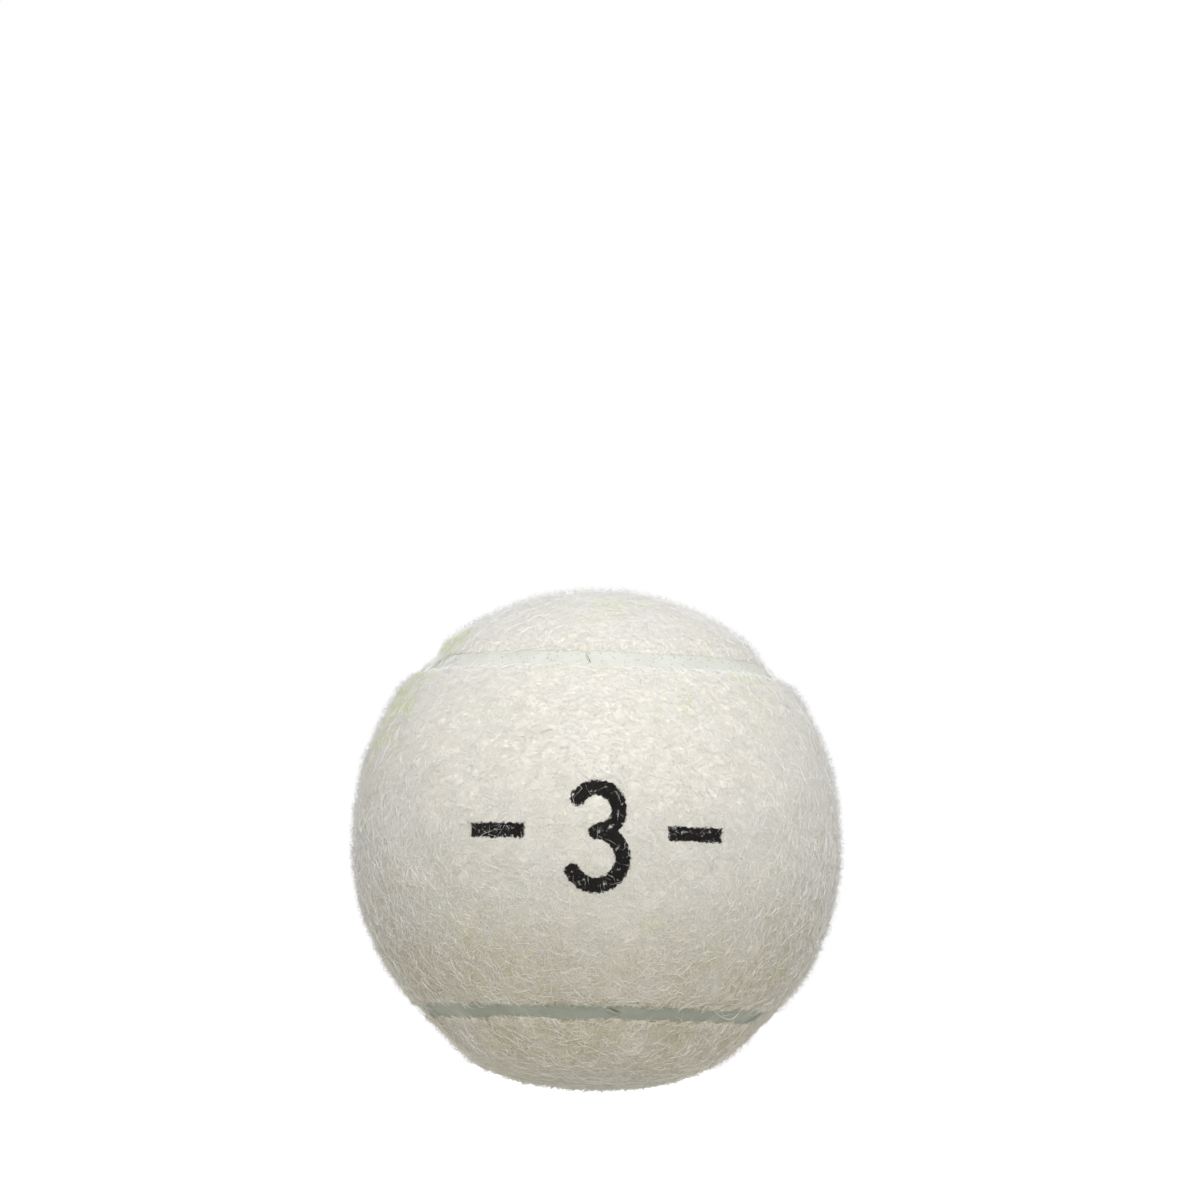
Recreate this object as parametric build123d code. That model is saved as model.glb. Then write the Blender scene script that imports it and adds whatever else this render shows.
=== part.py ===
from build123d import *
from build123d.topology import SkipClean

import os
from math import cos, degrees, radians, sin, sqrt

# Tennis ball, in millimetres: a hollow rubber core of two bonded halves, two interlocked felt panels
# and the rubber of the seam between them. The origin is the ball's centre, +Z is up, and the front
# panel's waist faces -Y.

# Driving dimensions
core_diameter = 60.0      # bonded core, over its rubber
core_wall = 3.2           # rubber wall of each core half
rim_bond = 0.3            # cement between the two rims
rim_chamfer = 0.6         # bevel on the inner corner of each rim, filled by the cement
cement_coat = 0.2         # rubber solution over the whole core
backing_coat = 0.3        # rubber solution on the back of each felt panel
felt_thickness = 3.0      # felt from its backing to the top of its nap
felt_shoulder = 1.0       # rounding of a felt panel's upper edge
seam_width = 3.2          # bare strip between the panels, across the seam's surface
seam_height = 2.3         # seam rubber above the cement coat
seam_dish = 0.15          # hollow along the middle of the seam's surface

# Each layer lies on the one below.
core_radius = core_diameter / 2
coat_radius = core_radius + cement_coat
backing_radius = coat_radius + backing_coat
nap_radius = backing_radius + felt_thickness
seam_radius = coat_radius + seam_height

# The seam's middle line is four half circles: two level ones in front, at 45 degrees above and below
# the equator, and two upright ones behind, at 45 degrees to the right and to the left. They run into
# one another in the plane of X and Z, and leave two equal panels.
seam_angle = 45.0
seam_spread = degrees(seam_width / 2 / seam_radius)
panel_angle = seam_angle - seam_spread

AXIS_FRONT = Axis((0, 0, 0), (0, 0, -1))   # turns +X by way of -Y to -X
AXIS_REAR = Axis((0, 0, 0), (-1, 0, 0))    # turns +Z by way of +Y to -Z


def polar(radius: float, angle: float) -> tuple[float, float]:
    """The point at a radius and an angle above +X, in the plane of X and Z."""
    return radius * cos(radians(angle)), radius * sin(radians(angle))


def sector(inner: float, outer: float, low: float, high: float) -> Face:
    """A ring sector between two radii and two angles, in the plane of X and Z."""
    middle = (low + high) / 2
    outline = [
        ThreePointArc(polar(outer, low), polar(outer, middle), polar(outer, high)),
        Line(polar(outer, high), polar(inner, high)),
        ThreePointArc(polar(inner, high), polar(inner, middle), polar(inner, low)),
        Line(polar(inner, low), polar(outer, low)),
    ]
    return Plane.XZ * make_face(outline).face()


def joined(first: Part, *others: Part) -> Part:
    """Pieces that meet face to face, as one solid that keeps the faces of each."""
    with SkipClean():
        return first.fuse(*others)


def rounded(face: Face, outer: float, angle: float, radius: float) -> Face:
    """The sector with its outer corner at this angle rounded."""
    x, z = polar(outer, angle)
    corner = face.vertices().sort_by_distance((x, 0, z))[0]
    return face.fillet_2d(radius, [corner])


def panel(inner: float, outer: float, shoulder: float = 0.0) -> Part:
    """One layer of the front panel: a waist across -Y and a round lobe at +X and at -X."""
    waist_face = sector(inner, outer, -panel_angle, panel_angle)
    lobe_face = sector(inner, outer, 0, panel_angle)
    if shoulder:
        waist_face = rounded(waist_face, outer, panel_angle, shoulder)
        waist_face = rounded(waist_face, outer, -panel_angle, shoulder)
        lobe_face = rounded(lobe_face, outer, panel_angle, shoulder)
    waist = revolve(waist_face, AXIS_FRONT, 180)
    lobe = revolve(lobe_face, AXIS_REAR, 180)
    return joined(waist, lobe, mirror(lobe, Plane.YZ))


def rear(front: Part) -> Part:
    """The rear panel's layer: the front's, with its waist at +Y and its lobes at +Z and -Z."""
    return Rot(0, 90, 0) * Rot(0, 0, 180) * front


def seam_loop() -> Part:
    """The strip of seam rubber, as one closed loop with a dished surface."""
    low, high = seam_angle - seam_spread, seam_angle + seam_spread
    outline = [
        ThreePointArc(
            polar(seam_radius, low), polar(seam_radius - seam_dish, seam_angle), polar(seam_radius, high)
        ),
        Line(polar(seam_radius, high), polar(coat_radius, high)),
        ThreePointArc(polar(coat_radius, high), polar(coat_radius, seam_angle), polar(coat_radius, low)),
        Line(polar(coat_radius, low), polar(seam_radius, low)),
    ]
    face = Plane.XZ * make_face(outline).face()
    level = revolve(face, AXIS_FRONT, 180)
    upright = revolve(face, AXIS_REAR, 180)
    return joined(level, mirror(level, Plane.XY), upright, mirror(upright, Plane.YZ))


def core() -> dict[str, Part]:
    """The two core halves, with bevelled rims, and the cement that bonds them."""
    inner_radius = core_radius - core_wall
    shell = Sphere(core_radius) - Sphere(inner_radius)
    bead = rim_bond / 2 + rim_chamfer
    throat = sqrt(inner_radius**2 - bead**2)
    reach = core_radius + rim_chamfer
    outline = [
        (0, -bead), (throat, -bead), (throat + rim_chamfer, -rim_bond / 2), (reach, -rim_bond / 2),
        (reach, rim_bond / 2), (throat + rim_chamfer, rim_bond / 2), (throat, bead), (0, bead),
    ]
    bond_space = revolve(Plane.XZ * make_face(Polyline(*outline, close=True)).face(), Axis.Z, 360)
    halves = (shell - bond_space).solids().sort_by(Axis.Z)
    return {
        "core_half_lower": halves[0],
        "core_half_upper": halves[1],
        "core_rim_bond": shell & bond_space,
    }


backing = panel(coat_radius, backing_radius)
felt = panel(backing_radius, nap_radius, felt_shoulder)
nodes = {
    **core(),
    "core_cement_coat": Sphere(coat_radius) - Sphere(core_radius),
    "felt_backing_front": backing,
    "felt_backing_rear": rear(backing),
    "felt_panel_front": felt,
    "felt_panel_rear": rear(felt),
    "seam_rubber": seam_loop(),
}

os.makedirs("parts", exist_ok=True)
for name, shape in nodes.items():
    export_step(shape, f"parts/{name}.step")
    print(f"{name}: {shape.volume:.0f} mm3 in {len(shape.solids())} solid")
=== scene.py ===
"""Dresses the tennis ball: two felt panels with a nap of wool strands, the seam rubber and the layers inside.

Sizes are in metres, in the ball's own frame: its centre is the origin, +Z is up and the front panel's
waist faces -Y.
"""

import logging
import math
from collections.abc import Callable
from dataclasses import dataclass, field
from enum import Enum

import bpy
import numpy as np
from mathutils import Matrix, Quaternion, Vector


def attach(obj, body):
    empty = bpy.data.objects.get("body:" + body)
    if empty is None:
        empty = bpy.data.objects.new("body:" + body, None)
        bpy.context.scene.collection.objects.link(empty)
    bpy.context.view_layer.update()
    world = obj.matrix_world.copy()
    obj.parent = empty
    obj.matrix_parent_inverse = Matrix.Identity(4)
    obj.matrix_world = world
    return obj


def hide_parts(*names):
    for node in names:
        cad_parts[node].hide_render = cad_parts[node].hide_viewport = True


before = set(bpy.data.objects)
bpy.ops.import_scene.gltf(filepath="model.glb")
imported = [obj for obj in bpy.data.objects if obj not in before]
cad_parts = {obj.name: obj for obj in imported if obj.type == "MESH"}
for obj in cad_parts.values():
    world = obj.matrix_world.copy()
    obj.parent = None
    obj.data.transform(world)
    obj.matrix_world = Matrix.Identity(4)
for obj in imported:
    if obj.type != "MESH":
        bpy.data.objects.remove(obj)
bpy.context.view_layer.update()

log = logging.getLogger("tennis_ball")

MM = 0.001
BODY = "root"

Colour = tuple[float, float, float]
Place = tuple[float, float, float]
Cluster = tuple[float, float, float, float, int]
Links = dict[str | int, object]
Socket = bpy.types.NodeSocket

# Where coloured lint has gathered: a direction from the ball's centre, its spread and its number of strands.
# A row without a direction is spread over the whole ball.
LINT_SPOTS: tuple[Cluster, ...] = (
    (-0.66, -0.20, 0.72, 0.07, 90),
    (-0.82, -0.30, 0.48, 0.14, 80),
    (-0.93, -0.30, 0.10, 0.16, 22),
    (0.235, -0.906, -0.352, 0.03, 6),
    (0.756, -0.453, -0.472, 0.05, 8),
    (0.451, -0.757, -0.474, 0.02, 5),
    (0.055, -0.383, 0.922, 0.06, 14),
    (0.565, -0.53, 0.63, 0.06, 12),
    (0.305, -0.80, 0.51, 0.06, 10),
    (-0.30, -0.78, -0.55, 0.08, 12),
    (-0.45, -0.80, -0.40, 0.10, 10),
    (0.0, 0.0, 0.0, 1.0, 90),
)

# Where tufts of wool have grown over the seam.
TUFT_SPOTS: tuple[Cluster, ...] = (
    (-0.70, -0.12, 0.70, 0.035, 110),
    (-0.66, -0.22, 0.71, 0.035, 70),
    (-0.62, -0.36, 0.70, 0.040, 40),
    (0.69, -0.15, -0.71, 0.045, 220),
    (0.70, -0.05, -0.71, 0.045, 260),
    (-0.69, -0.22, -0.69, 0.040, 90),
    (0.70, -0.16, 0.70, 0.030, 60),
    (0.70, 0.40, 0.58, 0.050, 80),
    (-0.70, 0.55, -0.45, 0.050, 80),
)

# Where a few short dark hairs lie in the nap.
HAIR_SPOTS: tuple[Cluster, ...] = (
    (-0.05, -0.86, 0.50, 0.16, 9),
    (-0.55, -0.75, 0.35, 0.14, 5),
    (0.0, 0.0, 0.0, 1.0, 24),
)

# Long strands that have come loose: their courses as x and z on the front of the ball, in millimetres.
LOOSE_COURSES = (
    ((16.0, -22.6), (17.3, -23.6), (18.6, -23.8), (19.6, -23.0), (20.2, -21.9), (21.2, -21.0), (22.0, -19.2)),
    ((25.0, -13.8), (25.8, -12.6), (26.8, -11.7), (28.0, -10.6), (29.4, -9.3)),
    ((27.0, -12.6), (27.7, -14.0), (27.8, -15.2), (27.6, -16.6), (27.9, -17.6)),
    ((-27.2, -15.8), (-26.6, -17.4), (-25.4, -18.6), (-24.4, -20.2), (-23.6, -22.0), (-22.2, -23.0)),
    ((-12.0, -19.5), (-10.4, -20.4), (-8.8, -20.6), (-7.0, -19.9), (-5.6, -20.3)),
)

# Where the felt is pressed in or stands out: a direction from the ball's centre, the reach and the height.
UNEVEN_SPOTS = (
    (-0.86, 0.0, -0.50, 0.30, -0.60 * MM),
    (-0.76, 0.0, -0.66, 0.16, -0.35 * MM),
    (-1.0, 0.0, 0.0, 0.20, -0.20 * MM),
    (-0.26, 0.0, 0.97, 0.22, 0.10 * MM),
    (-0.78, 0.0, 0.62, 0.10, 0.45 * MM),
    (0.78, 0.0, 0.62, 0.07, 0.35 * MM),
    (0.56, 0.0, 0.83, 0.12, -0.40 * MM),
    (1.0, 0.0, 0.05, 0.25, -0.18 * MM),
    (-0.63, 0.0, -0.78, 0.16, -1.50 * MM),
    (0.56, 0.0, -0.83, 0.12, -0.35 * MM),
    (0.665, 0.0, -0.747, 0.05, 0.60 * MM),
    (0.76, 0.0, -0.65, 0.09, -0.45 * MM),
)

# Painted shade on the lower half of the ball, in blotches of dirt: the heights between which it sets in,
# those below which it fades out again, and the size of its blotches.
SOIL_AND_SHADE_BAND = (-7.0 * MM, -20.5 * MM)
SOIL_AND_SHADE_FADE = (-33.0 * MM, -26.0 * MM)
SOIL_AND_SHADE_BLOTCH = 7.0 * MM


class Side(Enum):
    """The ball's two felt panels, with the sign of the seam distance on each."""

    FRONT = 1
    REAR = -1

    @property
    def word(self) -> str:
        """The panel's word in names."""
        return self.name.lower()


class Lay(Enum):
    """How a strand lies: flat in the mat, curled on it, standing out as fuzz or fringed along the cut edge.

    Stray lint, dark hairs and tufts over the seam lie only in some places.
    """

    FLAT = "mat"
    CURLED = "curls"
    STANDING = "fuzz"
    STRAY = "lint"
    HAIR = "hairs"
    TUFTED = "tufts"
    FRINGED = "fringe"


# Geometry shared by the pieces


def outer_radius(node: str) -> float:
    """Measures a node of the frame.

    Args:
        node: the node's name.

    Returns:
        The greatest distance of its surface from the ball's centre.
    """
    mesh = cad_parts[node].data
    places = np.empty(len(mesh.vertices) * 3, np.float32)
    mesh.vertices.foreach_get("co", places)
    return float(np.linalg.norm(places.reshape(-1, 3), axis=1).max())


def units(vectors: np.ndarray) -> np.ndarray:
    """Scales vectors to unit length along their last axis."""
    return vectors / np.maximum(np.linalg.norm(vectors, axis=-1, keepdims=True), 1e-12)


def smooth_step(values: np.ndarray, low: float, high: float) -> np.ndarray:
    """Eases from 0 at low to 1 at high."""
    share = np.clip((values - low) / (high - low), 0.0, 1.0)
    return share * share * (3.0 - 2.0 * share)


class Ripple:
    """A smooth random height over the ball, as a sum of plane waves."""

    def __init__(self, seed: int, wavelength: float, waves: int = 28) -> None:
        """Draws the waves.

        Args:
            seed: sets the waves' directions and phases.
            wavelength: the usual distance between two crests.
            waves: how many waves are added up.
        """
        rng = np.random.default_rng(seed)
        spread = rng.uniform(0.7, 1.5, (waves, 1))
        self.pitch = units(rng.normal(size=(waves, 3))) * spread * (math.tau / wavelength)
        self.phase = rng.uniform(0.0, math.tau, waves)

    def at(self, points: np.ndarray) -> np.ndarray:
        """Gives the height at each point.

        Args:
            points: places, with x, y and z along the last axis.

        Returns:
            One height for each point, mostly between -1.5 and 1.5.
        """
        flat = points.reshape(-1, 3)
        height = np.sin(flat @ self.pitch.T + self.phase).sum(1) * math.sqrt(2.0 / len(self.phase))
        return height.reshape(points.shape[:-1])


@dataclass(frozen=True)
class SeamCourse:
    """The seam's course round the ball: level half circles in front, upright ones behind."""

    surface: float
    half_width: float
    angle: float = math.radians(45.0)

    def offset(self, directions: np.ndarray) -> np.ndarray:
        """Gives the angle from the seam's middle line.

        Args:
            directions: unit vectors from the ball's centre.

        Returns:
            One angle for each direction, positive on the front panel.
        """
        x, y, z = np.moveaxis(directions, -1, 0)
        level = self.angle - np.abs(np.arcsin(np.clip(z, -1.0, 1.0)))
        upright = self.angle - np.arccos(np.clip(np.abs(x), 0.0, 1.0))
        return np.where(y < 0.0, level, upright)

    def inland(self, directions: np.ndarray, side: Side) -> np.ndarray:
        """Measures how far places lie inside a panel's cut edge.

        Args:
            directions: unit vectors from the ball's centre.
            side: the panel.

        Returns:
            The distance along the surface, negative on the seam and on the other panel.
        """
        return side.value * self.offset(directions) * self.surface - self.half_width

    def inward(self, directions: np.ndarray, side: Side) -> np.ndarray:
        """Gives the way that leads straight from the seam into a panel.

        Args:
            directions: unit vectors from the ball's centre.
            side: the panel.

        Returns:
            One unit tangent for each direction.
        """
        x, y, z = np.moveaxis(directions, -1, 0)
        pole = np.zeros_like(directions)
        pole[..., 2] = np.where(y < 0.0, -np.sign(z), 0.0)
        pole[..., 0] = np.where(y < 0.0, 0.0, np.sign(x))
        along = pole - (pole * directions).sum(-1, keepdims=True) * directions
        return units(along) * side.value


@dataclass(frozen=True)
class FeltShape:
    """The felt's outer surface, under its nap: rounded at its cut edges and a little uneven."""

    nap_radius: float
    seam: SeamCourse
    nap_depth: float = 0.52 * MM
    shoulder_front: tuple[float, float] = (2.2 * MM, 3.2 * MM)
    shoulder_rear: tuple[float, float] = (3.0 * MM, 6.5 * MM)
    lip: float = 0.03 * MM
    overlap: tuple[float, float] = (0.08 * MM, 0.26 * MM)
    shoulder_play: float = 0.3
    fall: float = 2.0
    fall_eased: float = 0.6
    lobe_sink: float = 0.60 * MM
    lobe_roundness: int = 10
    lobe_rise: float = 0.30 * MM
    lobe_band: tuple[float, float] = (0.72, 0.84)
    top_share: float = 1.1
    tread_sink: float = 0.60 * MM
    tread_reach: float = 15.0
    tread_bulge: float = 0.30 * MM
    tread_ring: tuple[float, float] = (30.0, 9.0)
    calm_reach: float = 2.0 * MM
    spread_reach: float = 2.5 * MM
    tear: tuple[float, float, float] = (0.40, 0.45, 0.50)
    tear_of_hang: float = 0.6
    tear_least: float = 0.06 * MM
    # How much of the cut edge's staining and painted shade the upper half keeps.
    grime_above: float = 0.24
    lump: float = 0.03 * MM
    swell: float = 0.08 * MM
    lumps: Ripple = field(default_factory=lambda: Ripple(11, 2.6 * MM))
    swells: Ripple = field(default_factory=lambda: Ripple(12, 9.0 * MM))
    wander: Ripple = field(default_factory=lambda: Ripple(15, 9.0 * MM))
    ragged: Ripple = field(default_factory=lambda: Ripple(13, 4.0 * MM))
    frayed: Ripple = field(default_factory=lambda: Ripple(14, 1.6 * MM))

    @staticmethod
    def below(directions: np.ndarray) -> np.ndarray:
        """Eases from 0 on the ball's upper half to 1 on its lower half."""
        return smooth_step(-directions[..., 2], -0.3, 0.3)

    def edge_stain_and_shade(self, directions: np.ndarray) -> np.ndarray:
        """Gives how strongly a cut edge is stained and darkened as painted shade: a little above and fully
        below.
        """
        return self.grime_above + (1.0 - self.grime_above) * self.below(directions)

    def shoulder(self, directions: np.ndarray, side: Side) -> np.ndarray:
        """Gives the length over which a panel falls to its cut edge."""
        upper, lower = self.shoulder_front if side is Side.FRONT else self.shoulder_rear
        return upper + (lower - upper) * self.below(directions)

    def hang(self, directions: np.ndarray) -> np.ndarray:
        """Gives how far the felt's edge hangs over the seam on the whole: more below than above."""
        upper, lower = self.overlap
        return upper + (lower - upper) * self.below(directions)

    def belly(self, directions: np.ndarray, side: Side) -> np.ndarray:
        """Gives how far a panel's broad form lies above an even ball: flat lobes, and a tread at the bottom.

        Args:
            directions: unit vectors from the ball's centre.
            side: the panel.

        Returns:
            One height for each direction.
        """
        uneven = 0.0
        for *spot, reach, height in UNEVEN_SPOTS:
            away = ((directions - np.array(spot) / math.hypot(*spot)) ** 2).sum(-1)
            uneven = uneven + height * np.exp(-(away / reach**2))
        if side is Side.FRONT:
            return uneven - self.lobe_sink * np.abs(directions[..., 0]) ** self.lobe_roundness
        z = directions[..., 2]
        from_bottom = np.degrees(np.arccos(np.clip(-z, -1.0, 1.0)))
        ring, width = self.tread_ring
        tread = self.tread_bulge * np.exp(-(((from_bottom - ring) / width) ** 2))
        tread -= self.tread_sink * np.exp(-((from_bottom / self.tread_reach) ** 2))
        top = np.where(z > 0.0, self.top_share, 1.0)
        return uneven + tread + self.lobe_rise * smooth_step(np.abs(z), *self.lobe_band) * top

    def radius(self, directions: np.ndarray, side: Side) -> np.ndarray:
        """Gives the distance of the felt's surface from the ball's centre.

        Args:
            directions: unit vectors from the ball's centre.
            side: the panel whose surface is meant.

        Returns:
            One radius for each direction.
        """
        places = directions * self.nap_radius
        inland = np.maximum(self.seam.inland(directions, side) + self.hang(directions), 0.0)
        play = self.shoulder_play * np.clip(self.ragged.at(places), -1.5, 1.5)
        length = self.shoulder(directions, side) * (1.0 + play)
        rise = np.clip(1.0 - inland / length, 0.0, 1.0)
        calm = smooth_step(inland, 0.0, self.calm_reach)
        uneven = calm * (self.lump * self.lumps.at(places) + self.swell * self.swells.at(places))
        crown = self.nap_radius - self.nap_depth + self.belly(directions, side) + uneven
        edge = self.seam.surface + self.lip
        fall = self.fall - self.fall_eased * self.below(directions) * (side is Side.REAR)
        return crown - (crown - edge) * rise**fall

    def ragged_hang(self, directions: np.ndarray) -> np.ndarray:
        """Gives how far the felt's torn edge hangs over the seam at each place.

        Args:
            directions: unit vectors from the ball's centre.

        Returns:
            One distance for each direction.
        """
        places = directions * self.nap_radius
        ripples = (self.wander, self.ragged, self.frayed)
        ragged = sum(share * ripple.at(places) for share, ripple in zip(self.tear, ripples))
        return self.hang(directions) * (1.0 + self.tear_of_hang * ragged) + self.tear_least * ragged

    def spread(self, directions: np.ndarray, side: Side) -> np.ndarray:
        """Draws a panel's edge unevenly out over the seam, by about its overlap.

        Args:
            directions: unit vectors from the ball's centre.
            side: the panel.

        Returns:
            The moved unit vectors.
        """
        fade = 1.0 - smooth_step(self.seam.inland(directions, side), 0.0, self.spread_reach)
        out = self.ragged_hang(directions) * fade / self.nap_radius
        return units(directions - self.seam.inward(directions, side) * out[..., None])


# Finishes


def add_node(
    tree: bpy.types.NodeTree, kind: str, links: Links | None = None, **settings: object
) -> bpy.types.Node:
    """Adds a node to a material or to the world.

    Args:
        tree: the nodes that it joins.
        kind: its Blender type.
        links: what goes into its sockets, by name or number: another socket or a value.
        settings: its own properties.

    Returns:
        The new node.
    """
    node = tree.nodes.new(kind)
    for key, value in settings.items():
        setattr(node, key, value)
    for key, value in (links or {}).items():
        if isinstance(value, Socket):
            tree.links.new(value, node.inputs[key])
        else:
            node.inputs[key].default_value = value
    return node


class NodeBench:
    """Lays out one material's nodes."""

    def __init__(self, name: str) -> None:
        """Starts a material that holds a Principled shader and its output.

        Args:
            name: the material's name.
        """
        self.material = bpy.data.materials.new(name)
        self.material.use_nodes = True
        self.tree = self.material.node_tree
        self.shader = self.tree.nodes["Principled BSDF"]
        self.object_place = self.tree.nodes.new("ShaderNodeTexCoord").outputs["Object"]

    def add(self, kind: str, links: Links | None = None, **settings: object) -> bpy.types.Node:
        """Adds a node to the material."""
        return add_node(self.tree, kind, links, **settings)

    def noise(self, size: float, detail: float = 2.0, rough: float = 0.5) -> Socket:
        """Gives a noise whose blotches are about this size."""
        links = {"Vector": self.object_place, "Scale": 1.0 / size, "Detail": detail, "Roughness": rough}
        return self.add("ShaderNodeTexNoise", links).outputs["Fac"]

    def spread(self, value: Socket, low: float, high: float, top: float = 1.0) -> Socket:
        """Stretches a value so that low becomes 0 and high becomes top, and clamps it."""
        links = {"Value": value, "From Min": low, "From Max": high, "To Min": 0.0, "To Max": top}
        return self.add("ShaderNodeMapRange", links, clamp=True).outputs["Result"]

    def attribute(self, name: str) -> Socket:
        """Reads a number that the mesh carries."""
        return self.add("ShaderNodeAttribute", attribute_name=name).outputs["Fac"]

    def times(self, a: Socket, b: Socket | float) -> Socket:
        """Multiplies two numbers."""
        return self.add("ShaderNodeMath", {0: a, 1: b}, operation="MULTIPLY").outputs[0]

    def work(self, operation: str, *values: Socket | float) -> Socket:
        """Works out a number from one or two others."""
        return self.add("ShaderNodeMath", dict(enumerate(values)), operation=operation).outputs[0]

    def distance(self, place: Socket, spot: Place) -> Socket:
        """Measures how far a place is from a fixed spot."""
        return self.add("ShaderNodeVectorMath", {0: place, 1: spot}, operation="DISTANCE").outputs["Value"]

    def mix(self, share: Socket, a: Socket | Colour, b: Socket | Colour) -> Socket:
        """Mixes two colours.

        Args:
            share: how much of b there is.
            a: the colour where share is 0.
            b: the colour where share is 1.

        Returns:
            The mixed colour.
        """
        links: Links = {0: share}
        for key, colour in ((6, a), (7, b)):
            links[key] = colour if isinstance(colour, Socket) else (*colour, 1.0)
        return self.add("ShaderNodeMix", links, data_type="RGBA").outputs[2]

    def height(self) -> Socket:
        """Gives each point's height above the ball's centre."""
        return self.add("ShaderNodeSeparateXYZ", {0: self.object_place}).outputs["Z"]

    def soil_and_shade(self, colour: Socket, tint: Colour, blotches: tuple[float, float] = (0.25, 0.60)) -> Socket:
        """Darkens a colour towards the bottom of the ball: painted shade of the lower half, in blotches of
        dirt.

        Args:
            colour: the clean colour.
            tint: the colour that the painted shade and dirt multiply it by.
            blotches: the noise levels at which a place is untouched and fully darkened.

        Returns:
            The soiled colour.
        """
        height = self.height()
        share = self.times(self.spread(height, *SOIL_AND_SHADE_BAND), self.spread(self.noise(SOIL_AND_SHADE_BLOTCH), *blotches))
        share = self.times(share, self.spread(height, *SOIL_AND_SHADE_FADE))
        links = {0: share, 6: colour, 7: (*tint, 1.0)}
        return self.add("ShaderNodeMix", links, data_type="RGBA", blend_type="MULTIPLY").outputs[2]

    def bump(self, height: Socket, depth: float, strength: float = 1.0) -> None:
        """Raises the surface by a height field."""
        node = self.add("ShaderNodeBump", {"Height": height, "Distance": depth, "Strength": strength})
        self.tree.links.new(node.outputs["Normal"], self.shader.inputs["Normal"])

    def finish(self, colour: Socket, **values: float) -> bpy.types.Material:
        """Joins the colour to the shader and sets the shader's even values.

        Args:
            colour: the colour socket.
            values: shader inputs by name, with _ for a blank.

        Returns:
            The material.
        """
        self.tree.links.new(colour, self.shader.inputs["Base Color"])
        for key, value in values.items():
            self.shader.inputs[key.replace("_", " ")].default_value = value
        return self.material


@dataclass(frozen=True)
class BallNumber:
    """The plain figure printed on the front panel, between two bars."""

    radius: float
    bowl_upper: float = 2.9 * MM
    bowl_lower: float = 3.5 * MM
    stroke: float = 2.1 * MM
    bar_start: float = 9.5 * MM
    bar_end: float = 17.0 * MM
    bar_height: float = 1.9 * MM
    blur: float = 0.05 * MM
    fray: float = 1.1 * MM
    fray_grain: float = 0.5 * MM
    gap_grain: float = 0.9 * MM

    def bowl(
        self, bench: NodeBench, place: Socket, size: float, centre: float, low: float, high: float
    ) -> Socket:
        """Measures the distance to the middle line of one bowl of the figure.

        Args:
            bench: the material's nodes.
            place: where a point lies on the print, across and up.
            size: the bowl's radius.
            centre: the height of its middle.
            low: the angle in degrees at which its stroke starts.
            high: the angle in degrees at which it ends.

        Returns:
            The distance.
        """
        parts = bench.add("ShaderNodeSeparateXYZ", {0: place})
        angle = bench.work("ARCTAN2", bench.work("SUBTRACT", parts.outputs["Y"], centre), parts.outputs["X"])
        middle, half = math.radians((low + high) / 2), math.radians((high - low) / 2)
        inside = bench.work("LESS_THAN", bench.work("ABSOLUTE", bench.work("SUBTRACT", angle, middle)), half)
        ring = bench.work("ABSOLUTE", bench.work("SUBTRACT", bench.distance(place, (0.0, centre, 0.0)), size))
        ends = []
        for turn in (math.radians(low), math.radians(high)):
            end = (size * math.cos(turn), centre + size * math.sin(turn), 0.0)
            ends.append(bench.distance(place, end))
        return bench.add("ShaderNodeMix", {0: inside, 2: bench.work("MINIMUM", *ends), 3: ring}).outputs[0]

    def cover(self, bench: NodeBench) -> Socket:
        """Gives how fully ink covers each point of the ball.

        Args:
            bench: the material's nodes.

        Returns:
            1 in the print and 0 outside it.
        """
        way = bench.add("ShaderNodeVectorMath", {0: bench.object_place}, operation="NORMALIZE").outputs[0]
        x, y, z = bench.add("ShaderNodeSeparateXYZ", {0: way}).outputs
        across = bench.times(bench.work("ARCTAN2", x, bench.times(y, -1.0)), self.radius)
        up = bench.times(bench.work("ARCSINE", z), self.radius)
        place = bench.add("ShaderNodeCombineXYZ", {0: across, 1: up}).outputs[0]
        upper = self.bowl(bench, place, self.bowl_upper, self.bowl_upper, -90.0, 150.0)
        lower = self.bowl(bench, place, self.bowl_lower, -self.bowl_lower, -150.0, 90.0)
        figure = bench.work("SUBTRACT", bench.work("MINIMUM", upper, lower), self.stroke / 2)
        middle, half = (self.bar_start + self.bar_end) / 2, (self.bar_end - self.bar_start) / 2
        beside = bench.work("ABSOLUTE", bench.work("SUBTRACT", bench.work("ABSOLUTE", across), middle))
        beside = bench.work("SUBTRACT", beside, half)
        above = bench.work("SUBTRACT", bench.work("ABSOLUTE", up), self.bar_height / 2)
        edge = bench.work("MINIMUM", figure, bench.work("MAXIMUM", beside, above))
        ragged = bench.work("SUBTRACT", bench.noise(self.fray_grain, 3.0, 0.6), 0.5)
        edge = bench.work("ADD", edge, bench.times(ragged, self.fray))
        inked = bench.times(bench.spread(edge, self.blur, -self.blur), bench.work("LESS_THAN", y, 0.0))
        return bench.times(inked, bench.spread(bench.noise(self.gap_grain, 2.0, 0.7), 0.30, 0.38))


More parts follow.
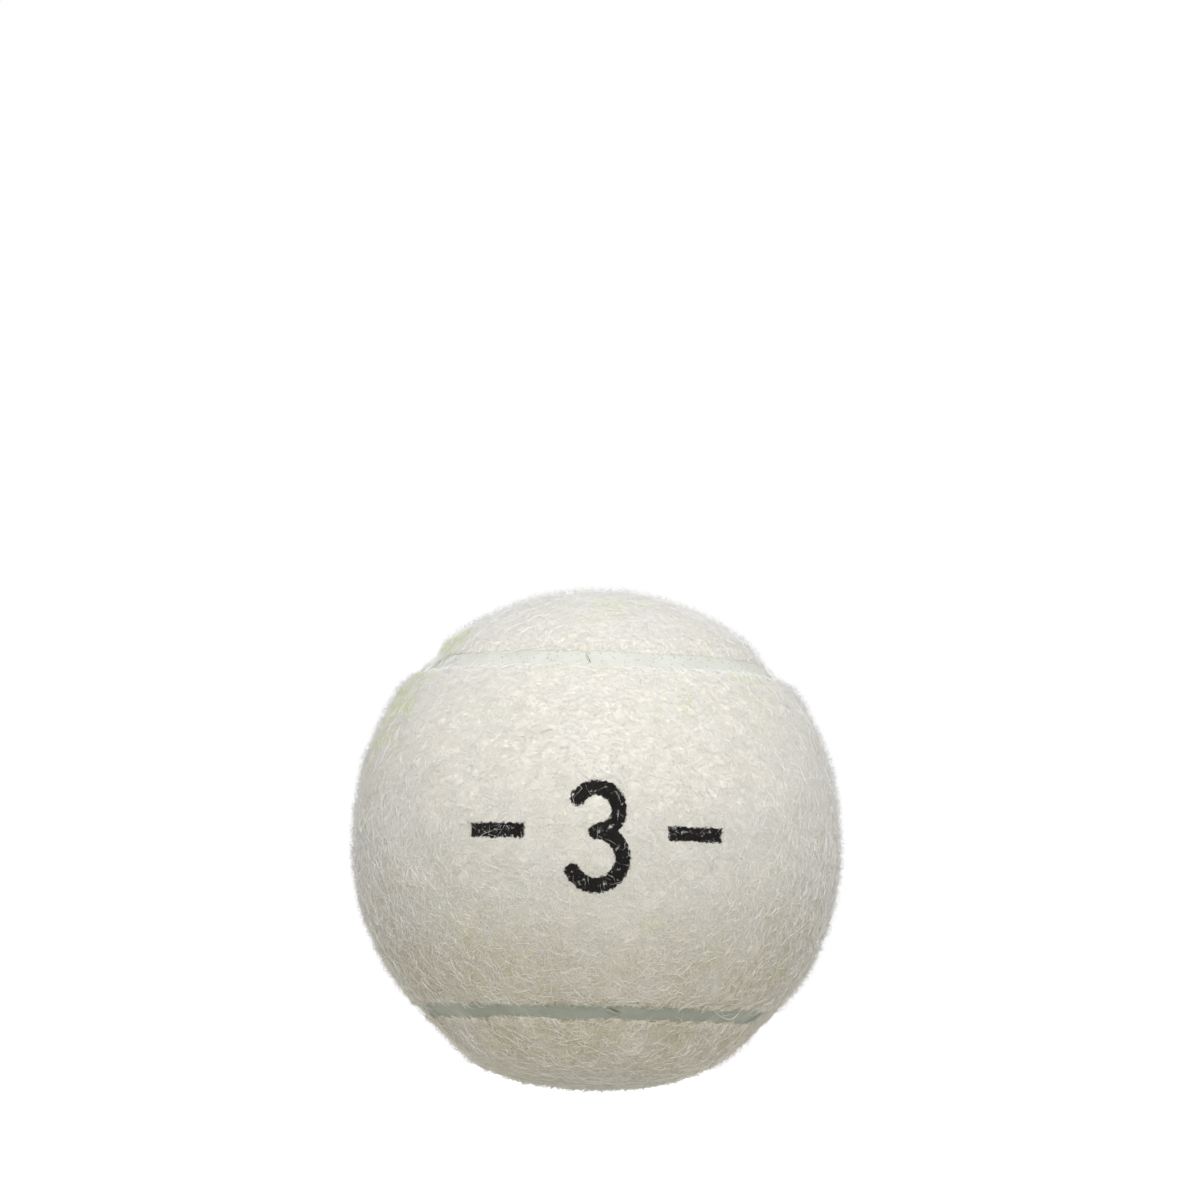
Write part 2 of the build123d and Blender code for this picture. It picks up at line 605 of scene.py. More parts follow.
@dataclass(frozen=True)
class FeltFinish:
    """The felt's matted body, seen between its strands, and darker than them as painted shade under the
    strands.
    """

    number: BallNumber
    # The upper half's lighter, plainer colour and the heights of its band: painted light.
    clean: Colour = (0.775, 0.748, 0.668)
    # The body's wool and deep colours, darker than the strands': painted shade under the strands.
    wool: Colour = (0.67, 0.645, 0.57)
    deep: Colour = (0.61, 0.58, 0.49)
    # A brown staining at the cut edge, darkened as painted shade where the felt meets the seam.
    stain_and_shade: Colour = (0.36, 0.26, 0.13)
    # The tint of the painted shade and dirt low down.
    soil_and_shade: Colour = (0.84, 0.80, 0.665)
    ink: Colour = (0.016, 0.015, 0.014)
    fleck: float = 0.5 * MM
    patch: float = 7.0 * MM
    lit_upper_band: tuple[float, float] = (-9.0 * MM, 7.0 * MM)
    stain_patch: float = 2.5 * MM
    stain_and_shade_depth: float = 0.7
    grit: float = 0.35 * MM
    grit_depth: float = 0.006 * MM

    def make(self) -> bpy.types.Material:
        """Builds the felt body's material: flecked low down, and lighter higher up as painted light.

        Low down it takes painted shade and dirt, and its cut edge is stained and darkened as painted shade.

        Returns:
            The material.
        """
        bench = NodeBench("felt_body")
        flecks = bench.spread(bench.noise(self.fleck, 3.0, 0.6), 0.42, 0.72)
        patches = bench.spread(bench.noise(self.patch), 0.40, 0.70)
        colour = bench.mix(bench.times(flecks, patches), self.wool, self.deep)
        # Painted light: the upper half is lighter and plainer.
        colour = bench.mix(bench.spread(bench.height(), *self.lit_upper_band), colour, self.clean)
        # The cut edge is stained and darkened as painted shade, over the painted shade and dirt low down.
        edge = bench.times(bench.attribute("edge"), bench.spread(bench.noise(self.stain_patch), 0.35, 0.65))
        colour = bench.mix(bench.times(edge, self.stain_and_shade_depth), bench.soil_and_shade(colour, self.soil_and_shade), self.stain_and_shade)
        colour = bench.mix(self.number.cover(bench), colour, self.ink)
        bench.bump(bench.noise(self.grit, 4.0, 0.65), self.grit_depth)
        return bench.finish(
            colour, Roughness=0.95, Specular_IOR_Level=0.1, Sheen_Weight=0.15, Sheen_Roughness=0.6
        )


@dataclass(frozen=True)
class StrandFinish:
    """One kind of strand: its colours from dull to bright, and the ink on it."""

    name: str
    number: BallNumber
    dull: Colour
    bright: Colour
    # The tint of the painted shade and dirt low down.
    soil_and_shade: Colour = (0.88, 0.852, 0.745)
    # A brown staining by the cut edge, darkened as painted shade where the felt meets the seam.
    stain_and_shade: Colour = (0.50, 0.375, 0.19)
    ink: Colour = (0.016, 0.015, 0.014)
    warmth: Colour = (1.0, 0.985, 0.93)
    warm_patch: float = 6.0 * MM
    stain_patch: float = 2.5 * MM
    stain_fleck: float = 0.6 * MM

    def make(self) -> bpy.types.Material:
        """Builds the strand's material: warmer in patches, with painted shade and dirt low down as the body
        has.

        By the cut edge it is stained and darkened as painted shade, as the body is.

        Returns:
            The material.
        """
        bench = NodeBench(self.name)
        colour = bench.mix(bench.attribute("tone"), self.dull, self.bright)
        warm = tuple(channel * tint for channel, tint in zip(self.dull, self.warmth))
        colour = bench.mix(bench.spread(bench.noise(self.warm_patch), 0.45, 0.75, 0.6), colour, warm)
        patches = bench.spread(bench.noise(self.stain_patch), 0.36, 0.60, 0.8)
        edge = bench.times(bench.attribute("edge"), patches)
        edge = bench.times(edge, bench.spread(bench.noise(self.stain_fleck, 2.0, 0.6), 0.40, 0.58))
        # The cut edge is stained and darkened as painted shade, over the painted shade and dirt low down.
        colour = bench.mix(edge, bench.soil_and_shade(colour, self.soil_and_shade), self.stain_and_shade)
        inked = bench.times(self.number.cover(bench), bench.attribute("ink"))
        colour = bench.mix(inked, colour, self.ink)
        return bench.finish(colour, Roughness=0.85, Specular_IOR_Level=0.15)


@dataclass(frozen=True)
class SeamFinish:
    """The seam's pale rubber, with dust specks and painted shade in the slit beside each moulding flaw."""

    flaws: tuple["SeamFlash", ...]
    seam: SeamCourse
    rubber: Colour = (0.61, 0.622, 0.574)
    worn: Colour = (0.555, 0.567, 0.512)
    speck: Colour = (0.25, 0.26, 0.20)
    # Painted shade in the slit beside each flaw.
    crease: Colour = (0.16, 0.165, 0.12)
    # The tint of the painted shade and dirt low down.
    soil_and_shade: Colour = (0.50, 0.535, 0.51)
    wear_patch: float = 3.0 * MM
    coarse_dust: tuple[float, float, float] = (0.60 * MM, 1.4 * MM, 0.75)
    fine_dust: tuple[float, float, float] = (0.32 * MM, 2.2 * MM, 0.55)
    grit: float = 0.6 * MM
    grit_depth: float = 0.05 * MM
    slit_reach: float = 0.55
    slit_width: float = 0.11 * MM

    def make(self) -> bpy.types.Material:
        """Builds the seam rubber's material: worn in patches, with coarse and fine dust and the painted slit
        shade.

        Low down it takes painted shade and dirt.

        Returns:
            The material.
        """
        bench = NodeBench("seam_rubber")
        wear = bench.spread(bench.noise(self.wear_patch, 4.0, 0.6), 0.35, 0.7)
        # Painted shade and dirt low down.
        colour = bench.soil_and_shade(bench.mix(wear, self.rubber, self.worn), self.soil_and_shade, (0.05, 0.45))
        for grain, patch, strength in (self.coarse_dust, self.fine_dust):
            cells = {"Vector": bench.object_place, "Scale": 1.0 / grain}
            dots = bench.add("ShaderNodeTexVoronoi", cells).outputs["Distance"]
            gathered = bench.spread(bench.noise(patch), 0.42, 0.60, strength)
            dust = bench.times(bench.spread(dots, 0.32, 0.14), gathered)
            colour = bench.mix(dust, colour, self.speck)
        # Painted shade in the slit beside each flaw.
        for flaw in self.flaws:
            colour = bench.mix(self.slit(bench, flaw), colour, self.crease)
        bench.bump(bench.noise(self.grit, 3.0, 0.6), self.grit_depth)
        return bench.finish(colour, Roughness=0.66, Specular_IOR_Level=0.3)

    def slit(self, bench: NodeBench, flaw: "SeamFlash") -> Socket:
        """Marks the painted shade in the fine slit along one edge of a flaw.

        Args:
            bench: the material's nodes.
            flaw: the flaw beside which the slit runs.

        Returns:
            1 in the slit and 0 elsewhere.
        """
        middle, along, across = flaw.axes(self.seam)
        middle = middle + across * flaw.width * 0.5
        links = {0: bench.object_place, 1: middle}
        near = bench.add("ShaderNodeVectorMath", links, operation="SUBTRACT").outputs[0]
        shares = []
        for axis, reach in ((along, flaw.length * self.slit_reach), (across, self.slit_width)):
            span = bench.add("ShaderNodeVectorMath", {0: near, 1: axis / reach}, operation="DOT_PRODUCT")
            span = bench.work("ABSOLUTE", span.outputs["Value"])
            shares.append(bench.spread(span, 1.0, 0.55))
        return bench.times(*shares)


@dataclass(frozen=True)
class LayerFinish:
    """One of the layers inside: rubber or dried cement."""

    name: str
    light: Colour
    dark: Colour
    grain: float
    roughness: float
    grit_depth: float = 0.05 * MM

    def make(self) -> bpy.types.Material:
        """Builds the layer's material: blotched and slightly rough.

        Returns:
            The material.
        """
        bench = NodeBench(self.name)
        blotch = bench.spread(bench.noise(self.grain, 4.0, 0.6), 0.3, 0.7)
        bench.bump(bench.noise(self.grain / 4, 3.0), self.grit_depth)
        return bench.finish(bench.mix(blotch, self.light, self.dark), Roughness=self.roughness)


# Pieces


def deselect() -> None:
    """Leaves edit mode and selects nothing."""
    if bpy.context.mode != "OBJECT":
        bpy.ops.object.mode_set(mode="OBJECT")
    bpy.ops.object.select_all(action="DESELECT")


def places_of(mesh: bpy.types.Mesh) -> np.ndarray:
    """Reads a mesh's vertices.

    Args:
        mesh: the mesh.

    Returns:
        Their places, as rows of x, y and z.
    """
    places = np.empty(len(mesh.vertices) * 3, np.float32)
    mesh.vertices.foreach_get("co", places)
    return places.reshape(-1, 3).astype(np.float64)


def give_numbers(mesh: bpy.types.Mesh, name: str, values: np.ndarray) -> None:
    """Stores one number for each vertex, for the materials to read."""
    mesh.attributes.new(name, "FLOAT", "POINT").data.foreach_set("value", values.astype(np.float32).ravel())


def seat(piece: bpy.types.Object, material: bpy.types.Material) -> bpy.types.Object:
    """Dresses a new piece and lets it ride on the ball.

    Args:
        piece: the new piece.
        material: its material.

    Returns:
        The piece.
    """
    piece.data.materials.clear()
    piece.data.materials.append(material)
    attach(piece, BODY)
    log.info("%s: %d faces", piece.name, len(piece.data.polygons))
    return piece


@dataclass
class FeltPanel:
    """One dumbbell of felt, bonded over half of the ball."""

    side: Side
    shape: FeltShape
    backing_radius: float
    rounds: int = 7
    weld: float = 0.02 * MM
    edge_band: tuple[float, float] = (-0.05 * MM, 1.20 * MM)

    def cut(self) -> bpy.types.Object:
        """Cuts the dumbbell out of a ball with planes, and thickens it down to its backing.

        Returns:
            The panel, with a smooth outer face.
        """
        deselect()
        radius, seam = self.shape.nap_radius, self.shape.seam
        bpy.ops.mesh.primitive_ico_sphere_add(subdivisions=self.rounds, radius=radius)
        panel = bpy.context.object
        panel.name = panel.data.name = f"felt_{self.side.word}"
        edge = seam.angle - self.side.value * seam.half_width / seam.surface
        level, upright = radius * math.sin(edge), radius * math.cos(edge)
        bpy.ops.object.mode_set(mode="EDIT")
        planes = [((0, 0, 0), (0, 1, 0))]
        planes += [((0, 0, sign * level), (0, 0, 1)) for sign in (-1, 1)]
        planes += [((sign * upright, 0, 0), (1, 0, 0)) for sign in (-1, 1)]
        for place, normal in planes:
            bpy.ops.mesh.select_all(action="SELECT")
            bpy.ops.mesh.bisect(plane_co=place, plane_no=normal)
        self.pick(panel, lambda middles: seam.inland(units(middles), self.side) < 0.0)
        bpy.ops.mesh.delete(type="FACE")
        bpy.ops.mesh.select_all(action="SELECT")
        bpy.ops.mesh.remove_doubles(threshold=self.weld)
        bpy.ops.object.mode_set(mode="OBJECT")
        wall = panel.modifiers.new("wall", "SOLIDIFY")
        wall.thickness, wall.offset = radius - self.backing_radius, -1.0
        bpy.ops.object.modifier_apply(modifier="wall")
        return panel

    @staticmethod
    def pick(panel: bpy.types.Object, rule: Callable[[np.ndarray], np.ndarray]) -> None:
        """Selects the faces whose middles obey a rule, in edit mode.

        Args:
            panel: the object in edit mode.
            rule: takes the faces' middles as rows and says which are picked.
        """
        bpy.ops.object.mode_set(mode="OBJECT")
        faces = panel.data.polygons
        middles = np.empty(len(faces) * 3, np.float32)
        faces.foreach_get("center", middles)
        picked = rule(middles.reshape(-1, 3).astype(np.float64))
        panel.data.vertices.foreach_set("select", np.zeros(len(panel.data.vertices), bool))
        panel.data.edges.foreach_set("select", np.zeros(len(panel.data.edges), bool))
        faces.foreach_set("select", picked)
        bpy.ops.object.mode_set(mode="EDIT")
        bpy.ops.mesh.select_mode(type="FACE")

    def build(self, finish: bpy.types.Material) -> bpy.types.Object:
        """Makes the panel: cut, thickened, with its outer face shaped and its edge marked.

        Args:
            finish: the felt body's material.

        Returns:
            The finished piece.
        """
        panel = self.cut()
        places = places_of(panel.data)
        reach = np.linalg.norm(places, axis=1)
        directions = units(places)
        outer = reach > (self.shape.nap_radius + self.backing_radius) / 2
        inland = self.shape.seam.inland(directions, self.side)
        directions[outer] = self.shape.spread(directions[outer], self.side)
        places[outer] = directions[outer] * self.shape.radius(directions[outer], self.side)[:, None]
        panel.data.vertices.foreach_set("co", places.astype(np.float32).ravel())
        edge = self.shape.edge_stain_and_shade(directions) * (1.0 - smooth_step(inland, *self.edge_band))
        give_numbers(panel.data, "edge", edge)
        panel.data.shade_smooth()
        panel.data.update()
        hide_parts(f"felt_panel_{self.side.word}")
        return seat(panel, finish)


@dataclass(frozen=True)
class SeamFlash:
    """A flaw in the seam: a sliver of rubber left by the mould, with one edge lifted."""

    name: str
    azimuth: float
    upper: bool
    length: float
    width: float
    height: float
    slant: float
    sunk: float = 0.12 * MM
    foot: float = 0.4
    pointed: float = 0.85
    lifted: float = 0.6

    def axes(self, seam: SeamCourse) -> tuple[Vector, Vector, Vector]:
        """Finds the sliver's place.

        Args:
            seam: the seam that it stands on.

        Returns:
            Its middle on the seam, and the unit vectors along and across it.
        """
        turn = math.radians(self.azimuth)
        level = seam.angle if self.upper else -seam.angle
        out = Vector((math.sin(turn) * math.cos(level), -math.cos(turn) * math.cos(level), math.sin(level)))
        along = Vector((math.cos(turn), math.sin(turn), 0.0))
        along.rotate(Quaternion(out, math.radians(self.slant)))
        return out * (seam.surface - self.sunk), along, out.cross(along)

    def build(self, seam: SeamCourse, finish: bpy.types.Material) -> bpy.types.Object:
        """Makes the sliver: a flattened ball cut off below, with pointed ends.

        Args:
            seam: the seam that it stands on.
            finish: the seam rubber's material.

        Returns:
            The finished piece.
        """
        deselect()
        bpy.ops.mesh.primitive_uv_sphere_add(segments=32, ring_count=16, radius=1.0)
        piece = bpy.context.object
        piece.name = piece.data.name = self.name
        bpy.ops.object.mode_set(mode="EDIT")
        bpy.ops.mesh.select_all(action="SELECT")
        bpy.ops.transform.resize(value=(self.length / 2, self.width / 2, self.height))
        bpy.ops.mesh.select_all(action="SELECT")
        cut = (0.0, 0.0, -self.height * self.foot)
        bpy.ops.mesh.bisect(plane_co=cut, plane_no=(0.0, 0.0, 1.0), clear_inner=True, use_fill=True)
        bpy.ops.object.mode_set(mode="OBJECT")
        places = places_of(piece.data)
        places[:, 1] *= 1.0 - self.pointed * (places[:, 0] / (self.length / 2)) ** 2
        places[:, 2] *= 1.0 + self.lifted * places[:, 1] / (self.width / 2)
        piece.data.vertices.foreach_set("co", places.astype(np.float32).ravel())
        middle, along, across = self.axes(seam)
        turn = Matrix((along, across, along.cross(across))).transposed()
        piece.matrix_world = Matrix.Translation(middle) @ turn.to_4x4()
        bpy.ops.object.transform_apply(location=True, rotation=True, scale=True)
        piece.data.shade_smooth()
        return seat(piece, finish)


@dataclass
class StrandMesh:
    """Turns strands' paths into one mesh of thin closed spindles with three sides."""

    paths: np.ndarray
    girth: np.ndarray
    tone: np.ndarray
    ink: np.ndarray
    edge: np.ndarray
    softness: float = 0.35
    sides: int = 3
    tip_girth: float = 0.7
    belly_girth: float = 0.3

    def points(self) -> np.ndarray:
        """Places each strand's vertices.

        Returns:
            For each strand its first tip, its rings in order and its last tip.
        """
        count, stations, _ = self.paths.shape
        inner = self.paths[:, 1:-1]
        along = units(self.paths[:, 2:] - self.paths[:, :-2])
        across = units(np.cross(along, units(inner)) + 1e-6)
        up = np.cross(across, along)
        taper = self.tip_girth + self.belly_girth * np.sin(np.linspace(0.0, math.pi, stations))[1:-1]
        reach = (self.girth[:, None] * taper[None, :])[..., None]
        turns = [math.tau * (lane / self.sides + 0.25) for lane in range(self.sides)]
        rings = [inner + reach * (math.cos(a) * across + math.sin(a) * up) for a in turns]
        rings = np.stack(rings, axis=2).reshape(count, -1, 3)
        return np.concatenate([self.paths[:, :1], rings, self.paths[:, -1:]], axis=1)

    def faces(self) -> list[list[tuple[int, float, float]]]:
        """Lists one strand's faces.

        Returns:
            The faces, each corner as its vertex, its station and its lane round the strand.
        """
        rings, sides = self.paths.shape[1] - 2, self.sides
        last = 1 + rings * sides
        made = []
        for lane in range(sides):
            here, after = lane, (lane + 1) % sides
            made.append([(0, 0, lane + 0.5), (1 + here, 1, lane), (1 + after, 1, lane + 1)])
            for ring in range(rings - 1):
                a, b = 1 + ring * sides + here, 1 + ring * sides + after
                low, high = ring + 1, ring + 2
                near = [(b, low, lane + 1), (a, low, lane)]
                made.append(near + [(a + sides, high, lane), (b + sides, high, lane + 1)])
            base = last - sides
            near = [(base + after, rings, lane + 1), (base + here, rings, lane)]
            made.append(near + [(last, rings + 1, lane + 0.5)])
        return made

    def build(self, name: str) -> bpy.types.Object:
        """Writes the mesh, with each strand in a cell of its own on the map.

        Args:
            name: the piece's name.

        Returns:
            The new object, linked to the scene.
        """
        points, faces = self.points(), self.faces()
        count, each = points.shape[:2]
        corners = [corner for face in faces for corner in face]
        local = np.array([corner[0] for corner in corners])
        starts = np.cumsum([0] + [len(face) for face in faces[:-1]])
        mesh = bpy.data.meshes.new(name)
        mesh.vertices.add(count * each)
        mesh.vertices.foreach_set("co", points.astype(np.float32).ravel())
        mesh.loops.add(count * len(corners))
        strand = np.arange(count)[:, None]
        mesh.loops.foreach_set("vertex_index", (strand * each + local).astype(np.int32).ravel())
        mesh.polygons.add(count * len(faces))
        mesh.polygons.foreach_set("loop_start", (strand * len(corners) + starts).astype(np.int32).ravel())
        mesh.update(calc_edges=True)
        grid = math.ceil(math.sqrt(count))
        stations = self.paths.shape[1]
        u = np.array([(corner[1] + 0.5) / stations for corner in corners])
        v = np.array([(corner[2] + 0.25) / (self.sides + 0.5) for corner in corners])
        cells = np.stack([(strand % grid + u) / grid, (strand // grid + v) / grid], axis=-1)
        mesh.uv_layers.new(name="OFBake").uv.foreach_set("vector", cells.astype(np.float32).ravel())
        stations_of = np.repeat(np.arange(stations), [1] + [self.sides] * (stations - 2) + [1])
        give_numbers(mesh, "tone", np.repeat(self.tone, each))
        give_numbers(mesh, "ink", np.repeat(self.ink, each))
        give_numbers(mesh, "edge", self.edge[:, stations_of])
        mesh.shade_smooth()
        own = np.empty(count * each * 3, np.float32)
        mesh.vertex_normals.foreach_get("vector", own)
        lit = own.reshape(-1, 3) * (1.0 - self.softness) + units(points.reshape(-1, 3)) * self.softness
        mesh.normals_split_custom_set_from_vertices(units(lit))
        piece = bpy.data.objects.new(name, mesh)
        bpy.context.scene.collection.objects.link(piece)
        return piece


@dataclass
class Nap:
    """The wool strands of one panel, of one lay."""

    side: Side
    lay: Lay
    shape: FeltShape
    seed: int
    length: float
    length_spread: float
    lift: float
    bend: float
    girth: float
    stations: int
    count: int = 0
    patches: int = 1
    overhang: float = 0.40 * MM
    across: tuple[float, float] = (0.0, 0.0)
    root_limit: float = 0.03 * MM
    with_grain: float = 0.35
    thin_above: float = 0.0
    ink_take: float = 0.985
    softness: float = 0.35
    edge_band: float = math.inf
    outward: float = 0.0
    clusters: tuple[Cluster, ...] = ()
    whole_ball: float = 2.2
    scatter: float = 0.02
    thin_band: tuple[float, float] = (-0.10, 0.45)
    grain_length: float = 5.0 * MM
    upper_overhang: float = 0.6
    rooted: float = 0.10 * MM
    least_standing: float = 0.05 * MM
    seated: float = 0.03 * MM
    crest_limit: float = 1.8
    tip_lift: float = 0.6
    edge_lift: float = 0.55
    edge_rise: tuple[float, float] = (-0.3 * MM, 2.4 * MM)
    # The band by the cut edge that holds its staining and painted shade.
    soil_from: tuple[float, float] = (-0.6 * MM, -0.2 * MM)
    soil_to: tuple[float, float] = (0.1 * MM, 1.3 * MM)
    girth_play: tuple[float, float] = (0.75, 1.25)

    def from_edge(self, directions: np.ndarray) -> np.ndarray:
        """Gives how far places lie inside the felt's torn edge."""
        return self.shape.seam.inland(directions, self.side) + self.shape.ragged_hang(directions)

    def roots(self, rng: np.random.Generator) -> np.ndarray:
        """Spreads the strands evenly over the panel, or about the clusters' middles.

        Args:
            rng: the strands' random numbers.

        Returns:
            Unit vectors from the ball's centre.
        """
        if self.clusters:
            spots = [
                units(np.array((x, y, z)) + rng.normal(0.0, reach, (number, 3)))
                for x, y, z, reach, number in self.clusters
            ]
            spots = np.concatenate(spots)
            return spots[self.from_edge(spots) > self.root_limit]
        whole = int(self.count * self.whole_ball)
        step = np.arange(whole) + rng.uniform(0.0, 1.0, whole)
        height = 1.0 - 2.0 * step / whole
        golden = 3.0 - math.sqrt(5.0)
        turn = step * math.pi * golden + rng.normal(0.0, self.scatter, whole)
        level = np.sqrt(np.maximum(1.0 - height**2, 0.0))
        spots = np.stack([level * np.cos(turn), level * np.sin(turn), height], axis=1)
        from_edge = self.from_edge(spots)
        spots = spots[(from_edge > self.root_limit) & (from_edge < self.edge_band)]
        keep = 1.0 - self.thin_above * smooth_step(spots[:, 2], *self.thin_band)
        return spots[rng.uniform(0.0, 1.0, len(spots)) < keep]

    def grain(self, roots: np.ndarray, rng: np.random.Generator) -> np.ndarray:
        """Gives each strand's heading: partly with its neighbours', partly its own.

        Args:
            roots: the strands' middles.
            rng: the strands' random numbers.

        Returns:
            One unit tangent for each strand.
        """
        places = roots * self.shape.nap_radius
        ripples = [Ripple(self.seed * 7 + axis, self.grain_length) for axis in range(3)]
        flow = np.stack([ripple.at(places) for ripple in ripples], axis=1)
        heading = flow * self.with_grain + rng.normal(size=roots.shape)
        heading -= self.shape.seam.inward(roots, self.side) * self.outward
        return units(heading - (heading * roots).sum(1, keepdims=True) * roots)

    def walk(self, roots: np.ndarray, rng: np.random.Generator) -> np.ndarray:
        """Leads each strand over the ball.

        Args:
            roots: the strands' middles.
            rng: the strands' random numbers.

        Returns:
            The unit directions of each strand's stations.
        """
        count = len(roots)
        ahead = self.grain(roots, rng)
        aside = np.cross(roots, ahead)
        length = self.length * np.exp(rng.normal(0.0, self.length_spread, count))
        share = (np.arange(self.stations - 1) + 0.5) / (self.stations - 1) - 0.5
        turn = rng.normal(0.0, self.bend, (count, 1)) * share * 2.0
        swing = rng.normal(0.0, self.bend * 0.5, (count, 1))
        turn += swing * np.sin(math.tau * share + rng.uniform(0, math.tau, (count, 1)))
        step = length[:, None] / (self.stations - 1) / self.shape.nap_radius
        x = np.concatenate([np.zeros((count, 1)), np.cumsum(step * np.cos(turn), axis=1)], axis=1)
        y = np.concatenate([np.zeros((count, 1)), np.cumsum(step * np.sin(turn), axis=1)], axis=1)
        x -= x.mean(1, keepdims=True)
        y -= y.mean(1, keepdims=True)
        ways = roots[:, None] + x[..., None] * ahead[:, None] + y[..., None] * aside[:, None]
        return units(ways)

    def keep_off_seam(self, ways: np.ndarray, rng: np.random.Generator) -> np.ndarray:
        """Draws stations that hang too far over the seam back towards the panel.

        Args:
            ways: the stations' directions.
            rng: the strands' random numbers.

        Returns:
            The directions, with some of them moved.
        """
        seam = self.shape.seam
        lower = ways[:, :1, 2] < 0.0
        reach = np.where(lower, self.overhang, self.overhang * self.upper_overhang)
        limit = -np.abs(rng.normal(0.0, 1.0, reach.shape)) * reach - self.shape.ragged_hang(ways[:, :1])
        free = rng.uniform(0.0, 1.0, limit.shape) < np.where(lower, self.across[1], self.across[0])
        limit = np.where(free, -1.0, limit)
        short = np.maximum(limit - seam.inland(ways, self.side), 0.0) / seam.surface
        return units(ways + seam.inward(ways, self.side) * short[..., None])

    def heights(self, count: int, rng: np.random.Generator) -> np.ndarray:
        """Gives the height of each station above the felt's body.

        Args:
            count: how many strands there are.
            rng: the strands' random numbers.

        Returns:
            A row of heights for each strand.
        """
        share = np.linspace(0.0, 1.0, self.stations)
        crest = np.minimum(np.abs(rng.normal(0.0, self.lift, (count, 1))), self.lift * self.crest_limit)
        if self.lay is Lay.STANDING:
            return -self.rooted + (self.least_standing + crest) * share**0.6
        arch = np.sin(math.pi * share) ** 0.7
        tip = np.abs(rng.normal(0.0, self.lift * self.tip_lift, (count, 1))) * share
        return self.seated + crest * arch + tip

    def soiled(self, ways: np.ndarray) -> np.ndarray:
        """Gives how strongly the cut edge stains each station and darkens it as painted shade.

        Args:
            ways: the stations' directions.

        Returns:
            A row of shares for each strand. Tufts and fringe get none.
        """
        if self.lay in (Lay.TUFTED, Lay.FRINGED):
            return np.zeros(ways.shape[:2])
        from_edge = self.from_edge(ways)
        band = smooth_step(from_edge, *self.soil_from) * (1.0 - smooth_step(from_edge, *self.soil_to))
        return band * self.shape.edge_stain_and_shade(ways)

    def build(self, finish: bpy.types.Material) -> list[bpy.types.Object]:
        """Makes the strands, as one or more patches along the panel.

        Args:
            finish: the strands' material.

        Returns:
            The patches.
        """
        rng = np.random.default_rng(self.seed)
        roots = self.roots(rng)
        ways = self.keep_off_seam(self.walk(roots, rng), rng)
        height = self.heights(len(roots), rng)
        inland = self.shape.seam.inland(ways, self.side)
        height *= self.edge_lift + (1.0 - self.edge_lift) * smooth_step(inland, *self.edge_rise)
        edge = self.soiled(ways)
        paths = ways * (self.shape.radius(ways, self.side) + height)[..., None]
        girth = self.girth * rng.uniform(*self.girth_play, len(roots))
        tone = rng.uniform(0.0, 1.0, len(roots))
        ink = np.where(rng.uniform(0.0, 1.0, len(roots)) < self.ink_take, 1.0, 0.0)
        x, y, z = roots.T
        along = np.arctan2(x, -y) if self.side is Side.FRONT else np.arctan2(z, y)
        made = []
        for number, part in enumerate(np.array_split(np.argsort(along), self.patches), 1):
            strands = StrandMesh(paths[part], girth[part], tone[part], ink[part], edge[part], self.softness)
            piece = strands.build(f"{self.lay.value}_{self.side.word}_{number}")
            made.append(seat(piece, finish))
        return made


@dataclass
class LooseStrands:
    """The few long strands that lie across the front of the ball."""

    shape: FeltShape
    girth: float = 0.030 * MM
    lift: float = 0.32 * MM
    lift_ends: float = 0.5
    stations: int = 24
    degree: int = 5
    tone: float = 0.8

    def course(self, corners: np.ndarray) -> np.ndarray:
        """Leads a smooth line through a strand's places.

        Args:
            corners: rows of x and z on the front of the ball, in millimetres.

        Returns:
            Unit directions along the line.
        """
        given = np.linspace(0.0, 1.0, len(corners))
        share = np.linspace(0.0, 1.0, self.stations)
        degree = min(len(corners) - 1, self.degree)
        x, z = (np.polynomial.Polynomial.fit(given, corners[:, k], degree)(share) * MM for k in (0, 1))
        y = -np.sqrt(np.maximum(self.shape.nap_radius**2 - x**2 - z**2, 0.0))
        return units(np.stack([x, y, z], axis=1))

    def build(self, finish: bpy.types.Material) -> bpy.types.Object:
        """Makes the strands as one piece.

        Args:
            finish: the strands' material.

        Returns:
            The piece.
        """
        ways = np.stack([self.course(np.array(corners)) for corners in LOOSE_COURSES])
        arch = np.sin(np.linspace(0.0, math.pi, self.stations))
        ground = np.maximum(self.shape.radius(ways, Side.FRONT), self.shape.seam.surface)
        paths = ways * (ground + self.lift * (self.lift_ends + (1.0 - self.lift_ends) * arch))[..., None]
        count = len(ways)
        girth, tone = np.full(count, self.girth), np.full(count, self.tone)
        strands = StrandMesh(paths, girth, tone, np.zeros(count), np.zeros(ways.shape[:2]), sides=5)
        return seat(strands.build("loose_strands"), finish)


@dataclass(frozen=True)
class Lamp:
    """One soft square lamp that faces the ball."""

    name: str
    place: Place
    size: float
    power: float

    def hang(self) -> None:
        """Adds the lamp to the scene."""
        data = bpy.data.lights.new(self.name, "AREA")
        data.size, data.energy = self.size, self.power
        lamp = bpy.data.objects.new(self.name, data)
        lamp.location = self.place
        lamp.rotation_euler = (-Vector(self.place)).to_track_quat("-Z", "Y").to_euler()
        bpy.context.scene.collection.objects.link(lamp)


